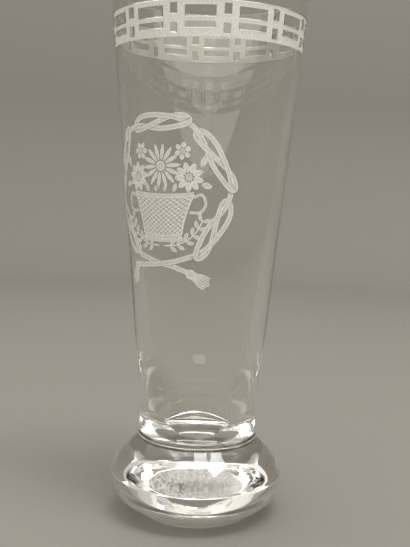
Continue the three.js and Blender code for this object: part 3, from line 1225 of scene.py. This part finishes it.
# %% Round sheet
AIR_GAP = 0.2 * MM
SHEET_TINT = (0.272, 0.256, 0.236, 1.0)
SHEET_REACH = 0.75
SHEET_BEND = 0.25
WALL_HEIGHT = 0.36
BACK_RISE = 4.0
MIDDLE_RADIUS = 2.0 * MM       # inside it, one face closes the floor
SHEET_SIDES = 96


def round_cove():
    """A round floor that curves up into a wall: an outline (radius, height) turned about Z.

    Above the bend the wall's height is multiplied by 1 + BACK_RISE * sin(angle / 2) squared.
    """
    edge = SHEET_REACH + SHEET_BEND
    outline = joined(
        straight((MIDDLE_RADIUS, -AIR_GAP), (SHEET_REACH, -AIR_GAP), steps=6),
        rounded(SHEET_REACH, SHEET_BEND - AIR_GAP, SHEET_BEND, -90.0, 0.0, steps=16),
        straight((edge, SHEET_BEND), (edge, WALL_HEIGHT), steps=8),
    )
    angle = np.linspace(0.0, 2 * np.pi, SHEET_SIDES, endpoint=False)
    radius, height = outline[:, :1], outline[:, 1:]
    on_wall = np.clip(height - SHEET_BEND, 0.0, None)
    points = round_points(radius, angle, height + on_wall * BACK_RISE * np.sin(angle / 2) ** 2)
    faces = grid_faces(len(outline), SHEET_SIDES, wrap_columns=True).tolist()
    return points, [*faces, list(range(SHEET_SIDES))]


sheet_material, _, sheet_shader = new_material("pale_sheet")
feed(sheet_shader, {"Base Color": SHEET_TINT, "Roughness": 0.9, "Specular IOR Level": 0.1})
sheet = make_piece("pale_sheet", *round_cove(), (sheet_material,))
print("sheet:", len(sheet.data.polygons), "faces")

# %% [markdown]
# ## Lights
# The real glass was seen by a window with two panes, which shows as two small bright fields on the shoulder
# of the foot. One bare lamp could light the glass, but would leave a hard white spot. So two small panes
# make that reflection, and large weak panels give the soft light. The two low panels in front also lay a
# faint haze over the upper bowl, where the far wall mirrors them.

# %% Lamps
AIM = Vector((0.0, 0.0, 0.1))
NEUTRAL = (1.0, 1.0, 1.0)
WARM = (1.0, 0.972, 0.915)

# Name, place, width, height, power and colour
LAMPS = (
    ("window_left_pane", (0.12, -0.35, 1.45), 0.36, 0.32, 3.8, NEUTRAL),
    ("window_right_pane", (0.57, -0.35, 1.43), 0.54, 0.32, 5.4, NEUTRAL),
    ("room_fill", (-0.9, -0.9, 1.9), 5.6, 4.6, 34.0, WARM),
    ("back_fill", (-0.35, 0.8, 1.9), 2.4, 1.8, 8.0, WARM),
    ("side_glow", (-1.2, -1.5, 0.8), 2.4, 1.0, 10.0, WARM),
    ("front_sky", (1.0, -1.35, 0.74), 3.0, 0.8, 13.0, WARM),
)


def soft_light(name, place, width, height, power, colour):
    """A rectangular lamp at a place, turned to face the middle of the glass."""
    data = bpy.data.lights.new(name, "AREA")
    data.shape = "RECTANGLE"
    data.size = width
    data.size_y = height
    data.energy = power
    data.color = colour
    lamp = bpy.data.objects.new(name, data)
    bpy.context.scene.collection.objects.link(lamp)
    lamp.location = place
    lamp.rotation_mode = "QUATERNION"
    lamp.rotation_quaternion = (AIM - Vector(place)).to_track_quat("-Z", "Y")


for lamp_row in LAMPS:
    soft_light(*lamp_row)
print("lamps:", len(LAMPS))

# %% World and view
WORLD_STRENGTH = 0.66
world = bpy.data.worlds.new("studio")
world.use_nodes = True
feed(world.node_tree.nodes["Background"], {"Color": (*WARM, 1.0), "Strength": WORLD_STRENGTH})
bpy.context.scene.world = world

bpy.context.scene.view_settings.view_transform = "Standard"
print("view:", bpy.context.scene.view_settings.view_transform)

# %% [markdown]
# ## Light inside the glass
# In the thick foot, light bounces from wall to wall many times before it finds its way out. With the usual
# few turns, the render gives up on such light and paints it black. More turns cost a little time and clear
# the foot.

# %% Turns of light
LIGHT_TURNS = 24
cycles = bpy.context.scene.cycles
for limit in ("max_bounces", "glossy_bounces", "transmission_bounces", "transparent_max_bounces"):
    setattr(cycles, limit, LIGHT_TURNS)
print("turns of light:", cycles.max_bounces)
